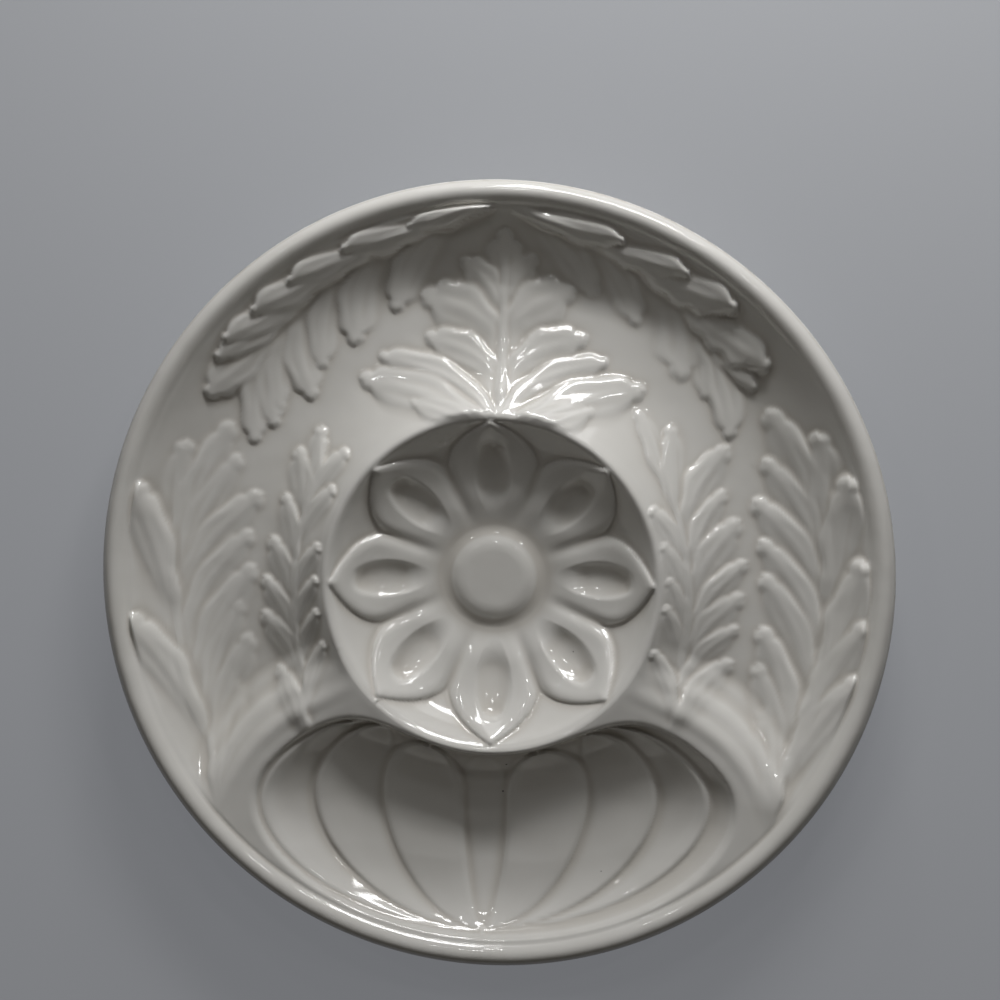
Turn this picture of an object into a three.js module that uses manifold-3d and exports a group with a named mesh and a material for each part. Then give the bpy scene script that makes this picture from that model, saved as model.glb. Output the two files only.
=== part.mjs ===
// Oyster plate in white glazed earthenware. A leaf-moulded trough bends round a dip well with a lotus
// rosette, and a fluted shell well closes the lower side. Millimetres, front face up (+Z), crown leaf
// towards +Y, standing on its foot ring.
import * as THREE from 'three';
import { mergeVertices } from 'three/addons/utils/BufferGeometryUtils.js';
import Module from 'manifold-3d';

// Casting and rim
const plateDiameter = 260;
const plateHeight = 28;
const lipWidth = 7.5;
const lipRoll = 2.6;
const wallThickness = 5.5;
const floorThickness = 4.5;

// Foot ring under the casting
const footDiameter = 140;
const footWidth = 7;
const footHeight = 4;
const footChamfer = 1;

// Hollow of the underside between the dip well and the foot ring
const recessInnerRadius = 43;
const recessRise = 2.5;
const recessLand = 2.5;
const recessCurve = 1.3;

// Dip well and its boss
const ridgeDiameter = 109;
const ridgeDrop = 1;
const bossDiameter = 30;
const bossRise = 3;
const bossEdge = 3.5;
const bossGroove = 2;
const wellSweep = 1.6;
const wellRise = 5;
const wellSteepness = 0.55;

// Leaf trough between the ridge and the lip
const troughDepth = 15;
const troughLowest = 0.56;
const troughInnerCurve = 2;
const troughOuterCurve = 2.3;

// Shell well, as runs of its walls from the edge in to the flat of its floor
const shellHalfSpan = 46;
const shellSideBulge = 5;
const shellEdgeGap = 3;
const shellLift = 1.5;
const shellInnerRun = 17;
const shellOuterRun = 32;
const shellSideRun = 24;
const shellSquareness = 0.42;
const bowlRoundness = 1.8;
const undersideLean = 0.6;

// Banks that part the trough from the shell well
const bankTop = 5;
const bankRun = 22;
const bankDip = 3;

// Relief
const leafLift = 2.2;
const leafBend = 0.5;
const lobeSetBack = 0.8;
const midribLift = 1.3;
const midribHalfWidth = 1.7;
const leafFullness = 0.29;
const lobeHalfWidthLeast = 2.6;
const lobeHalfWidthMost = 7;
const petalCount = 8;
const petalLift = 2.4;
const petalCrease = 0.7;
const petalEdge = 1;
const petalRootLift = 0.2;
const petalRootRun = 0.4;
const petalNotch = 15;
const petalTipGap = 2.5;
const petalHollow = 2;
const petalHollowHalfWidth = 5.5;
const petalHollowEnd = 0.85;
const petalTaper = 0.7;
const reliefSeat = 3;

// Raised round-headed panels of the shell: edges as shares of its half width, and lifts along both edges
const middlePanel = { from: -0.1, to: 0.1, inner: 0.5, outer: 0.5 };
const sidePanels = [
  { from: 0.1, to: 0.45, inner: 2.2, outer: 2.4 },
  { from: 0.45, to: 0.75, inner: 0.7, outer: 2.4 },
  { from: 0.75, to: 0.97, inner: 0.4, outer: 2 },
];
const panelMiddle = -3;
const panelCrown = 0.25;
const panelShoulder = 0.9;
const panelArchDrop = 4.5;
const panelArch = 0.72;
const panelArchEnd = 1.02;
const panelFootGap = 3;
const panelFootLift = 0.3;
const panelFootRun = 0.25;

// Leaves in the trough's own terms: bearing in degrees from +X, and place across from ridge (0) to lip (1)
const leaves = [
  {
    stem: [[87, 0.04], [88, 0.45], [88, 0.8]],
    tips: [[88, 0.92], [95, 0.75], [83, 0.77], [102, 0.63], [76, 0.65], [105, 0.44], [71, 0.46],
      [122, 0.35], [52, 0.35], [113, 0.13], [60, 0.14]],
  },
  {
    stem: [[95, 0.96], [110, 0.89], [124, 0.83], [136, 0.79], [146, 0.7]],
    tips: [[103, 1], [114, 1], [123, 1], [131, 0.98], [147, 0.86], [110, 0.64], [120, 0.55], [133, 0.48],
      [148, 0.53]],
  },
  {
    stem: [[85, 0.96], [71, 0.88], [58, 0.82], [46, 0.74], [36, 0.63]],
    tips: [[74, 1], [59, 1], [49, 0.98], [39, 0.86], [71, 0.65], [62, 0.61], [48, 0.53], [32, 0.54]],
  },
  {
    stem: [[211, 0.86], [196, 0.82], [180, 0.79], [167, 0.81], [158, 0.77]],
    tips: [[151, 0.7], [161, 0.44], [179, 0.4], [195, 0.47], [203, 0.59], [158, 0.86], [165, 0.97],
      [173, 0.97], [184, 0.97], [194, 0.98]],
  },
  {
    stem: [[328, 0.87], [343, 0.85], [357, 0.83], [371, 0.82], [383, 0.8]],
    tips: [[391, 0.75], [377, 0.53], [362, 0.51], [349, 0.53], [335, 0.66], [385, 0.9], [376, 0.96],
      [367, 0.97], [356, 0.97], [345, 0.97]],
  },
  {
    stem: [[211, 0.29], [193, 0.21], [173, 0.18], [156, 0.2], [146, 0.26]],
    tips: [[149, 0.4], [171, 0.31], [187, 0.36], [203, 0.38], [140, 0.33], [138, 0.1], [168, 0.06],
      [179, 0.05], [190, 0.06], [201, 0.08]],
  },
  {
    stem: [[331, 0.24], [350, 0.17], [367, 0.15], [383, 0.16], [396, 0.2]],
    tips: [[400, 0.34], [389, 0.5], [373, 0.43], [362, 0.44], [350, 0.41], [340, 0.43], [409, 0.27],
      [386, 0.05], [374, 0.05], [362, 0.05], [353, 0.04], [338, 0.05]],
  },
];

// Facets
const sectors = 52;
const shellFacets = 44;
const stemSamples = 60;

// Values that follow from the sizes
const plateRadius = plateDiameter / 2;
const lipInner = plateRadius - lipWidth;
const lipEdge = plateHeight - lipRoll;
const ridgeRadius = ridgeDiameter / 2;
const ridgeHeight = plateHeight - ridgeDrop;
const bossRadius = bossDiameter / 2;
const grooveRadius = bossRadius + bossGroove;
const wellFloor = footHeight + floorThickness;
const shellFloor = wellFloor + shellLift;
const shellInner = ridgeRadius + shellEdgeGap;
const shellOuter = lipInner - shellEdgeGap / 2;
const panelLevel = 1 - panelArchDrop / (lipEdge - shellFloor);
const panelFoot = -shellOuter + shellOuterRun * bowlInset(panelLevel) + panelFootGap;

const wasm = await Module();
wasm.setup();

function mix(a, b, t) {
  return a + (b - a) * t;
}

// Half a cosine wave from 1 at `start` down to 0 at `end`
function fall(value, start, end) {
  const t = THREE.MathUtils.clamp((value - start) / (end - start), 0, 1);
  return 0.5 + 0.5 * Math.cos(Math.PI * t);
}

function toSolid(geometry) {
  const bare = geometry.clone();
  bare.deleteAttribute('normal');
  bare.deleteAttribute('uv');
  const merged = mergeVertices(bare, 1e-4);
  const vertProperties = new Float32Array(merged.attributes.position.array);
  const triVerts = new Uint32Array(merged.index.array);
  return new wasm.Manifold(new wasm.Mesh({ numProp: 3, vertProperties, triVerts }));
}

function toGeometry(solid) {
  const { vertProperties, triVerts } = solid.getMesh();
  const geometry = new THREE.BufferGeometry();
  geometry.setAttribute('position', new THREE.BufferAttribute(new Float32Array(vertProperties), 3));
  geometry.setIndex(new THREE.BufferAttribute(new Uint32Array(triVerts), 1));
  geometry.computeVertexNormals();
  return geometry;
}

function middle(ring) {
  const centre = new THREE.Vector3();
  ring.forEach((point) => centre.addScaledVector(point, 1 / ring.length));
  return centre;
}

// Closed solid skinned over rings of points, with a fan over each end, the last drawn out to `apex`
function loft(rings, apex = middle(rings[rings.length - 1])) {
  const count = rings[0].length;
  const points = rings.flat();
  const centres = [middle(rings[0]), apex];
  const first = points.length;
  const last = (rings.length - 1) * count;
  const index = [];
  for (let i = 0; i < count; i += 1) {
    const next = (i + 1) % count;
    for (let row = 0; row < last; row += count) {
      index.push(row + i, row + next, row + count + next);
      index.push(row + i, row + count + next, row + count + i);
    }
    index.push(first, next, i);
    index.push(first + 1, last + i, last + next);
  }
  const geometry = new THREE.BufferGeometry().setFromPoints([...points, ...centres]);
  geometry.setIndex(index);
  const solid = toSolid(geometry);
  if (solid.volume() > 0) {
    return solid;
  }
  geometry.setIndex(index.toReversed());
  return toSolid(geometry);
}

// Drawn height of the turned front face, before the shell well is sunk
function drawnHeight(radius) {
  if (radius < grooveRadius) {
    return wellFloor + bossRise * fall(radius, bossRadius - bossEdge, grooveRadius);
  }
  if (radius < ridgeRadius) {
    const up = (radius - grooveRadius) / (ridgeRadius - grooveRadius);
    return mix(wellFloor, ridgeHeight, mix(up ** wellSweep, up ** wellRise, wellSteepness));
  }
  if (radius < lipInner) {
    const across = (radius - ridgeRadius) / (lipInner - ridgeRadius);
    const inward = Math.max(1 - across / troughLowest, 0) ** troughInnerCurve;
    const outward = Math.max((across - troughLowest) / (1 - troughLowest), 0) ** troughOuterCurve;
    return mix(ridgeHeight, lipEdge, across) - troughDepth * (1 - inward - outward);
  }
  const fromCrest = (radius - lipInner) / lipWidth * 2 - 1;
  return plateHeight - lipRoll * fromCrest ** 2;
}

// Stations of the front face from the axis out to the rim
function frontProfile() {
  const radii = [0, bossRadius - bossEdge, bossRadius - bossEdge / 3, grooveRadius];
  for (const up of [0.25, 0.5, 0.7, 0.87, 0.96]) {
    radii.push(mix(grooveRadius, ridgeRadius, up));
  }
  for (const across of [0, 0.05, 0.15, 0.3, 0.5, 0.7, 0.86, 0.95]) {
    radii.push(mix(ridgeRadius, lipInner, across));
  }
  for (const over of [0, 0.25, 0.5, 0.78, 1]) {
    radii.push(lipInner + lipWidth * over);
  }
  return radii.map((radius) => new THREE.Vector2(radius, drawnHeight(radius)));
}

const front = frontProfile();

// Height of the turned face itself, straight from station to station
function turnedHeight(radius) {
  const outer = Math.max(front.findIndex((station) => station.x >= radius), 1);
  const [a, b] = [front[outer - 1], front[outer]];
  return mix(a.y, b.y, (radius - a.x) / (b.x - a.x));
}

// Half angle of the shell well's side at a radius, at the well's edge
function shellHalfAngle(radius) {
  const across = THREE.MathUtils.clamp((radius - shellInner) / (shellOuter - shellInner), 0, 1);
  return shellHalfSpan + shellSideBulge * Math.sin(Math.PI * across);
}

// Height of the front face at a point of the trough, with the banks beside the shell well
function faceHeight(x, y) {
  const radius = Math.hypot(x, y);
  const turned = turnedHeight(radius);
  if (radius < ridgeRadius || radius > lipInner) {
    return turned;
  }
  const fromAxis = THREE.MathUtils.radToDeg(Math.abs(Math.atan2(x, -y)));
  const outside = radius * THREE.MathUtils.degToRad(fromAxis - shellHalfAngle(radius));
  return mix(turned, bankCrest(radius), fall(outside, bankTop, bankTop + bankRun));
}

function bankCrest(radius) {
  const across = (radius - ridgeRadius) / (lipInner - ridgeRadius);
  return mix(ridgeHeight, lipEdge, across) - bankDip * Math.sin(Math.PI * across);
}

function polar(radius, bearing) {
  const turn = THREE.MathUtils.degToRad(bearing);
  return new THREE.Vector2(radius * Math.cos(turn), radius * Math.sin(turn));
}

function troughPoint([bearing, across]) {
  return polar(mix(ridgeRadius, lipInner, across), bearing);
}

// How far a bowl's wall has come in at a share of its height, from 0 at the edge to 1 at the floor
function bowlInset(height) {
  return 1 - (1 - (1 - height) ** bowlRoundness) ** (1 / bowlRoundness);
}

// Turned casting: front face out to the rim, and an underside that follows the shell well's outer wall,
// with a hollow round the dip well inside the foot ring
function turnCasting() {
  const profile = [...front];
  profile.push(new THREE.Vector2(plateRadius, lipEdge - lipRoll / 2));
  for (const height of [0.78, 0.55, 0.33, 0.17, 0.05]) {
    const lean = (Math.PI / 2) * height ** undersideLean;
    const radius = shellOuter - shellOuterRun * bowlInset(height) + wallThickness * Math.sin(lean);
    const level = mix(shellFloor, lipEdge, height) - wallThickness * Math.cos(lean);
    profile.push(new THREE.Vector2(radius, Math.max(level, footHeight)));
  }
  profile.push(new THREE.Vector2((footDiameter + footWidth) / 2 + wallThickness, footHeight));
  const recessOuterRadius = (footDiameter - footWidth) / 2 - recessLand;
  for (const across of [1, 0.78, 0.5, 0.22, 0]) {
    const rise = recessRise * Math.sin(Math.PI * across) ** recessCurve;
    profile.push(new THREE.Vector2(mix(recessInnerRadius, recessOuterRadius, across), footHeight + rise));
  }
  profile.push(new THREE.Vector2(0, footHeight));
  return toSolid(new THREE.LatheGeometry(profile.reverse(), sectors).rotateX(Math.PI / 2));
}

// Bank from the dip well's ridge out to the rim, on one side of the shell well
function raiseBank(side) {
  const rings = [0, 0.1, 0.24, 0.4, 0.58, 0.76, 0.9, 1].map((across) => {
    const radius = mix(ridgeRadius, lipInner, across);
    const place = (outside, sink) => {
      const angle = shellHalfAngle(radius) + THREE.MathUtils.radToDeg(outside / radius);
      const { x, y } = polar(radius, -90 + side * angle);
      return new THREE.Vector3(x, y, faceHeight(x, y) - sink);
    };
    const foot = bankTop + bankRun;
    const tops = [0.95, 0.75, 0.5, 0.25, 0].map((run) => place(bankTop + bankRun * run, 0));
    return [place(foot, reliefSeat), ...tops, place(-bankTop, 0), place(-bankTop, troughDepth / 2)];
  });
  return loft(rings);
}

// Edge of the shell well at a share of its height: a box with round corners, bent round the dip well
function shellRing(height, level) {
  const inset = bowlInset(Math.min(height, 1));
  const inner = shellInner + shellInnerRun * inset;
  const outer = shellOuter - shellOuterRun * inset;
  const ring = [];
  for (let i = 0; i < shellFacets; i += 1) {
    const turn = (2 * Math.PI * i) / shellFacets;
    const along = Math.sign(Math.cos(turn)) * Math.abs(Math.cos(turn)) ** shellSquareness;
    const aside = Math.sign(Math.sin(turn)) * Math.abs(Math.sin(turn)) ** shellSquareness;
    const radius = mix(inner, outer, 0.5 + along / 2);
    const { x, y } = polar(radius, -90 + aside * (shellHalfAngle(radius) - shellSideRun * inset));
    ring.push(new THREE.Vector3(x, y, level));
  }
  return ring;
}

function shellLevel(height) {
  return mix(shellFloor, lipEdge, height);
}

function sinkShell() {
  const heights = [0, 0.05, 0.14, 0.26, 0.42, 0.6, 0.8, 1];
  const rings = heights.map((height) => shellRing(height, shellLevel(height)));
  rings.push(shellRing(1, plateHeight + lipRoll));
  return loft(rings);
}

// How far a point lies outside (above 0) or inside (below 0) the shell well's edge at a share of its height
function outsideShell(x, y, height) {
  const radius = Math.hypot(x, y);
  const inset = bowlInset(height);
  const inner = shellInner + shellInnerRun * inset;
  const outer = shellOuter - shellOuterRun * inset;
  const along = Math.abs((2 * radius - inner - outer) / (outer - inner));
  const fromAxis = THREE.MathUtils.radToDeg(Math.abs(Math.atan2(x, -y)));
  const aside = fromAxis / (shellHalfAngle(radius) - shellSideRun * inset);
  return along ** (2 / shellSquareness) + aside ** (2 / shellSquareness) - 1;
}

// Value between `low` and `high` where a rising measure passes 0
function solve(measure, low, high) {
  let [below, above] = [low, high];
  for (let step = 0; step < 30; step += 1) {
    const trial = (below + above) / 2;
    if (measure(trial) > 0) {
      above = trial;
    } else {
      below = trial;
    }
  }
  return (below + above) / 2;
}

function shellHeight(x, y) {
  return shellLevel(solve((height) => -outsideShell(x, y, height), 0, 1));
}

// Half width of the shell well at the level of the panels' heads
function shellHalfWidth(y) {
  const clear = shellInner + shellInnerRun / 2;
  const inside = Math.sqrt(Math.max(clear ** 2 - y ** 2, 0));
  return solve((x) => outsideShell(x, y, panelLevel), inside, shellOuter);
}

// Point of the shell well's face on the panel line at a share of its half width, with the face's normal
function shellPoint(side, share, up) {
  const above = (y) => outsideShell(share * shellHalfWidth(y), y, panelLevel);
  const top = solve(above, -(shellInner + shellOuter) / 2, -shellInner * 0.75);
  const y = mix(panelFoot, top, up);
  const x = panelMiddle + side * share * shellHalfWidth(y);
  const step = 0.5;
  const normal = new THREE.Vector3(
    (shellHeight(x - step, y) - shellHeight(x + step, y)) / (2 * step),
    (shellHeight(x, y - step) - shellHeight(x, y + step)) / (2 * step),
    1,
  ).normalize();
  return { point: new THREE.Vector3(x, y, shellHeight(x, y)), normal };
}

// One raised panel of the shell, crowned across and round at its head
function panel(side, { from, to, inner, outer }) {
  const crown = ((inner + outer) / 2) * (1 + panelCrown);
  const rings = [0, 0.2, 0.42, 0.62, 0.8, 0.93, 1].map((up) => {
    const round = Math.sqrt(1 - Math.max((up - panelArch) / (panelArchEnd - panelArch), 0) ** 2);
    const shown = mix(panelFootLift, 1, Math.min(up / panelFootRun, 1));
    const place = (across, rise) => {
      const share = (from + to) / 2 + ((to - from) / 2) * across * round;
      const { point, normal } = shellPoint(side, share, up);
      return point.addScaledVector(normal, rise);
    };
    return [place(-1, -reliefSeat), place(-panelShoulder, inner * shown), place(0, crown * shown),
      place(panelShoulder, outer * shown), place(1, -reliefSeat), place(0, -reliefSeat)];
  });
  return loft(rings);
}

function shellPanels() {
  return [panel(1, middlePanel), ...[1, -1].flatMap((side) => sidePanels.map((form) => panel(side, form)))];
}

// One petal of the rosette: a raised border with an ogee tip round a teardrop hollow
function petal(bearing) {
  const inner = grooveRadius;
  const tip = ridgeRadius - petalTipGap;
  const notch = ridgeRadius - petalNotch;
  const wedge = (radius) => radius * Math.tan(Math.PI / petalCount) - petalCrease;
  const halfWidth = (radius) => wedge(Math.min(radius, notch)) * fall(radius, notch, tip) ** petalTaper;
  const ahead = polar(1, bearing);
  const place = (radius, aside, rise) => {
    const x = ahead.x * radius - ahead.y * aside;
    const y = ahead.y * radius + ahead.x * aside;
    return new THREE.Vector3(x, y, turnedHeight(Math.hypot(x, y)) + rise);
  };
  const rings = [0, 0.25, 0.45, 0.62, 0.78, 0.91].map((out) => {
    const radius = mix(inner, tip, out);
    const half = halfWidth(radius);
    const rim = Math.max(half - petalEdge, half / 2);
    const lift = petalLift * mix(petalRootLift, 1, Math.min(out / petalRootRun, 1));
    const opened = Math.sin(Math.PI * Math.min(out / petalHollowEnd, 1));
    const hollow = Math.max(petalHollowHalfWidth * opened, rim / 5);
    const floor = lift - petalHollow * opened;
    return [place(radius, -half, -reliefSeat / 2), place(radius, -rim, lift), place(radius, -hollow, lift),
      place(radius, 0, floor), place(radius, hollow, lift), place(radius, rim, lift),
      place(radius, half, -reliefSeat / 2), place(radius, 0, -reliefSeat)];
  });
  return loft(rings, place(tip, 0, -reliefSeat / 2));
}

function rosette() {
  return Array.from({ length: petalCount }, (_, i) => petal((360 / petalCount) * i));
}

// One leaf lobe: it leaves the stem along it, bends out to its tip, and swells there
function lobe(root, along, tip, halfWidth) {
  const reach = root.distanceTo(tip);
  const elbow = root.clone().addScaledVector(along, reach * leafBend);
  const spine = new THREE.QuadraticBezierCurve(root, elbow, tip);
  const stations = [[0, 0.35, 0.2], [0.55, 0.95, 0.85], [0.88, 0.8, 1]];
  const rings = stations.map(([at, width, lift]) => {
    const centre = spine.getPoint(at);
    const ahead = spine.getTangent(at);
    const place = (aside, rise) => {
      const x = centre.x - ahead.y * aside * width * halfWidth;
      const y = centre.y + ahead.x * aside * width * halfWidth;
      return new THREE.Vector3(x, y, faceHeight(x, y) + rise);
    };
    const rise = leafLift * lift;
    return [place(-1, -reliefSeat / 2), place(-0.6, rise), place(0.6, rise), place(1, -reliefSeat / 2),
      place(0, -reliefSeat)];
  });
  return loft(rings, new THREE.Vector3(tip.x, tip.y, faceHeight(tip.x, tip.y) - reliefSeat / 2));
}

function leaf({ stem, tips }) {
  const curve = new THREE.SplineCurve(stem.map(troughPoint));
  const samples = curve.getSpacedPoints(stemSamples);
  const solids = tips.map((place) => {
    const tip = troughPoint(place);
    const distances = samples.map((point) => point.distanceTo(tip));
    const reach = Math.min(...distances);
    const nearest = distances.indexOf(reach);
    const back = Math.round((reach / curve.getLength()) * stemSamples * lobeSetBack);
    const at = Math.max(nearest - back, 0);
    const root = samples[at];
    const along = curve.getTangentAt(at / stemSamples);
    const halfWidth = leafFullness * root.distanceTo(tip);
    return lobe(root, along, tip, THREE.MathUtils.clamp(halfWidth, lobeHalfWidthLeast, lobeHalfWidthMost));
  });
  solids.push(midrib(curve));
  return solids;
}

function midrib(curve) {
  const rings = [0, 0.15, 0.3, 0.5, 0.7, 0.85, 1].map((at) => {
    const centre = curve.getPointAt(at);
    const ahead = curve.getTangentAt(at);
    const taper = mix(1, 0.5, at);
    const place = (aside, rise) => {
      const x = centre.x - ahead.y * aside * taper * midribHalfWidth;
      const y = centre.y + ahead.x * aside * taper * midribHalfWidth;
      return new THREE.Vector3(x, y, faceHeight(x, y) + rise);
    };
    return [place(-1, -reliefSeat / 2), place(0, midribLift), place(1, -reliefSeat / 2),
      place(0, -reliefSeat)];
  });
  return loft(rings);
}

function buildPlate() {
  let casting = turnCasting();
  casting = casting.add(raiseBank(1)).add(raiseBank(-1));
  casting = casting.subtract(sinkShell());
  for (const raised of [...shellPanels(), ...rosette(), ...leaves.flatMap(leaf)]) {
    casting = casting.add(raised);
  }
  return toGeometry(casting);
}

function buildFoot() {
  const inner = (footDiameter - footWidth) / 2;
  const outer = (footDiameter + footWidth) / 2;
  const profile = [
    [inner, footHeight], [inner, footChamfer], [inner + footChamfer, 0], [outer - footChamfer, 0],
    [outer, footChamfer], [outer, footHeight], [inner, footHeight],
  ].map(([radius, level]) => new THREE.Vector2(radius, level));
  return toGeometry(toSolid(new THREE.LatheGeometry(profile, sectors).rotateX(Math.PI / 2)));
}

const glaze = new THREE.MeshStandardMaterial({ color: 0xe4e0d8, roughness: 0.12, metalness: 0 });
const bareClay = new THREE.MeshStandardMaterial({ color: 0xd9cdb8, roughness: 0.85, metalness: 0 });

const plateBody = new THREE.Mesh(buildPlate(), glaze);
plateBody.name = 'plate_body';

const footRing = new THREE.Mesh(buildFoot(), bareClay);
footRing.name = 'foot_ring';

const oysterPlate = new THREE.Group();
oysterPlate.add(plateBody, footRing);

export default oysterPlate;
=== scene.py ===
"""Glazed oyster plate: a leaf-moulded trough round a dip well with a lotus rosette, and a fluted shell well.

The casting and its foot ring are modelled in millimetres, front face up and crown leaf towards +Y, and are
scaled to metres when each mesh is finished.
"""

from __future__ import annotations

import logging
import math
from dataclasses import dataclass
from enum import Enum
from typing import Any, Sequence, Union

import bmesh
import bpy
import numpy as np
from mathutils import Matrix, Vector


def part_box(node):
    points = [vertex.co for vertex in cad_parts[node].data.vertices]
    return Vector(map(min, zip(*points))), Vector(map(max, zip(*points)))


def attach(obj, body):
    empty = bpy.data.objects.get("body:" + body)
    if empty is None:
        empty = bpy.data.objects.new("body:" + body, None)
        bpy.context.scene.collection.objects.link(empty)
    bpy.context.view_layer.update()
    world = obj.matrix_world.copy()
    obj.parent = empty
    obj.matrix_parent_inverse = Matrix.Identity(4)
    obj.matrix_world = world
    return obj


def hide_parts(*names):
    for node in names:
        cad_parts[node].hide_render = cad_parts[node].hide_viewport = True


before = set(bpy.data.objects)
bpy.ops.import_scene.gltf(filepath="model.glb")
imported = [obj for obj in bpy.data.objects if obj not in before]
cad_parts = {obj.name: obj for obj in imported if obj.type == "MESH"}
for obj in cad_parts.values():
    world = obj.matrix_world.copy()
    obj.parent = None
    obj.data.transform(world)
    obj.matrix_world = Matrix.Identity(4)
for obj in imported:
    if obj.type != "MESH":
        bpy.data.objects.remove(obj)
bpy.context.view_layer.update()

MM = 0.001
BODY = "root"
# Vertex layer that marks hollows and creases, where the glaze pools and where shade is painted.
POOL_AND_SHADE_LAYER = "pool_and_shade"
WEDGES = 16
WELD_DISTANCE = 0.005
SAME_LEVEL = 0.01
HALVINGS = 24
STEM_STEPS = 12

Field = np.ndarray
Point = tuple[float, float]
Colour = tuple[float, float, float, float]

log = logging.getLogger("oyster_plate")


def mix(start: Any, end: Any, share: Any) -> Any:
    """Value a share of the way from start to end."""
    return start + (end - start) * share


def fall(value: Field, start: float, end: float) -> Field:
    """Half a cosine wave from 1 at start down to 0 at end.

    Args:
        value: Places at which the wave is read.
        start: Place where the wave leaves 1.
        end: Place where the wave reaches 0.

    Returns:
        The wave's height at each place.
    """
    share = np.clip((value - start) / (end - start), 0.0, 1.0)
    return 0.5 + 0.5 * np.cos(np.pi * share)


def soft_max(first: Field, second: Any, softness: float) -> Field:
    """Larger of two heights, rounded over where they cross.

    Args:
        first: Heights of one form.
        second: Heights of the other form.
        softness: Height difference over which the crossing is rounded.

    Returns:
        The joined heights.
    """
    share = np.clip(0.5 + 0.5 * (first - second) / softness, 0.0, 1.0)
    return mix(second, first, share) + softness * share * (1.0 - share)


def soft_min(first: Field, second: Any, softness: float) -> Field:
    """Smaller of two heights, rounded over where they cross."""
    return -soft_max(-first, -second, softness)


def curve_through(points: Sequence[Point], steps: int) -> Field:
    """Smooth curve through a few points.

    Args:
        points: Points that the curve passes through, in order.
        steps: Number of steps from each point to the next.

    Returns:
        Points along the curve, one row each.
    """
    given = np.array(points, float)
    padded = np.vstack([2 * given[0] - given[1], given, 2 * given[-1] - given[-2]])
    share = np.linspace(0.0, 1.0, steps, endpoint=False)[:, None]
    runs = []
    for before, start, end, after in zip(padded, padded[1:], padded[2:], padded[3:]):
        square, cube = share**2, share**3
        runs.append(
            0.5 * (2 * start + (end - before) * share)
            + 0.5 * (2 * before - 5 * start + 4 * end - after) * square
            + 0.5 * (3 * start - before - 3 * end + after) * cube
        )
    return np.vstack([*runs, given[-1:]])


def nearest_on(path: Field, x: Field, y: Field) -> tuple[Field, Field, Field]:
    """Nearest places on a path of straight steps.

    Args:
        path: Points of the path, one row each.
        x: Places across the plate.
        y: Places up the plate.

    Returns:
        Share of the path's length at each nearest place, the distance to it, and 1 on the path's left side
        or -1 on its right.
    """
    lengths = np.hypot(*np.diff(path, axis=0).T)
    starts = np.concatenate([[0.0], np.cumsum(lengths)])
    distance = np.full(x.shape, np.inf)
    share = np.zeros(x.shape)
    side = np.ones(x.shape)
    for start, end, length, behind in zip(path, path[1:], lengths, starts):
        ahead = (end - start) / length
        along = np.clip((x - start[0]) * ahead[0] + (y - start[1]) * ahead[1], 0.0, length)
        apart = np.hypot(x - start[0] - ahead[0] * along, y - start[1] - ahead[1] * along)
        nearer = apart < distance
        distance = np.where(nearer, apart, distance)
        share = np.where(nearer, (behind + along) / starts[-1], share)
        left = (y - start[1]) * ahead[0] > (x - start[0]) * ahead[1]
        side = np.where(nearer, np.where(left, 1.0, -1.0), side)
    return share, distance, side


@dataclass(frozen=True)
class PlateSizes:
    """Driving sizes of the casting, in millimetres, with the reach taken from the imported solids."""

    radius: float
    height: float
    foot_height: float
    foot_radius: float
    lip_width: float = 7.5
    lip_roll: float = 2.6
    wall: float = 5.5
    floor: float = 4.5
    ridge_radius: float = 54.5
    ridge_drop: float = 1.0
    ridge_softness: float = 4.0
    boss_radius: float = 15.0
    boss_rise: float = 3.0
    boss_edge: float = 4.4
    boss_groove: float = 2.0
    well_sweep: float = 1.6
    well_rise: float = 5.0
    well_steepness: float = 0.55
    trough_depth: float = 15.0
    trough_lowest: float = 0.56
    trough_inner_curve: float = 2.5
    trough_outer_curve: float = 2.3
    foot_width: float = 7.0
    recess_inner: float = 43.0
    recess_rise: float = 2.5
    recess_land: float = 2.5
    recess_curve: float = 1.3

    @property
    def lip_inner(self) -> float:
        """Radius of the lip's inner edge."""
        return self.radius - self.lip_width

    @property
    def lip_edge(self) -> float:
        """Height of the lip's two edges."""
        return self.height - self.lip_roll

    @property
    def ridge_height(self) -> float:
        """Height of the ridge round the dip well."""
        return self.height - self.ridge_drop

    @property
    def groove_radius(self) -> float:
        """Radius of the groove round the boss."""
        return self.boss_radius + self.boss_groove

    @property
    def well_floor(self) -> float:
        """Height of the dip well's floor."""
        return self.foot_height + self.floor

    def across(self, radius: Field) -> Field:
        """Place across the trough, from 0 at the ridge to 1 at the lip."""
        return np.clip((radius - self.ridge_radius) / (self.lip_inner - self.ridge_radius), 0.0, 1.0)


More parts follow.
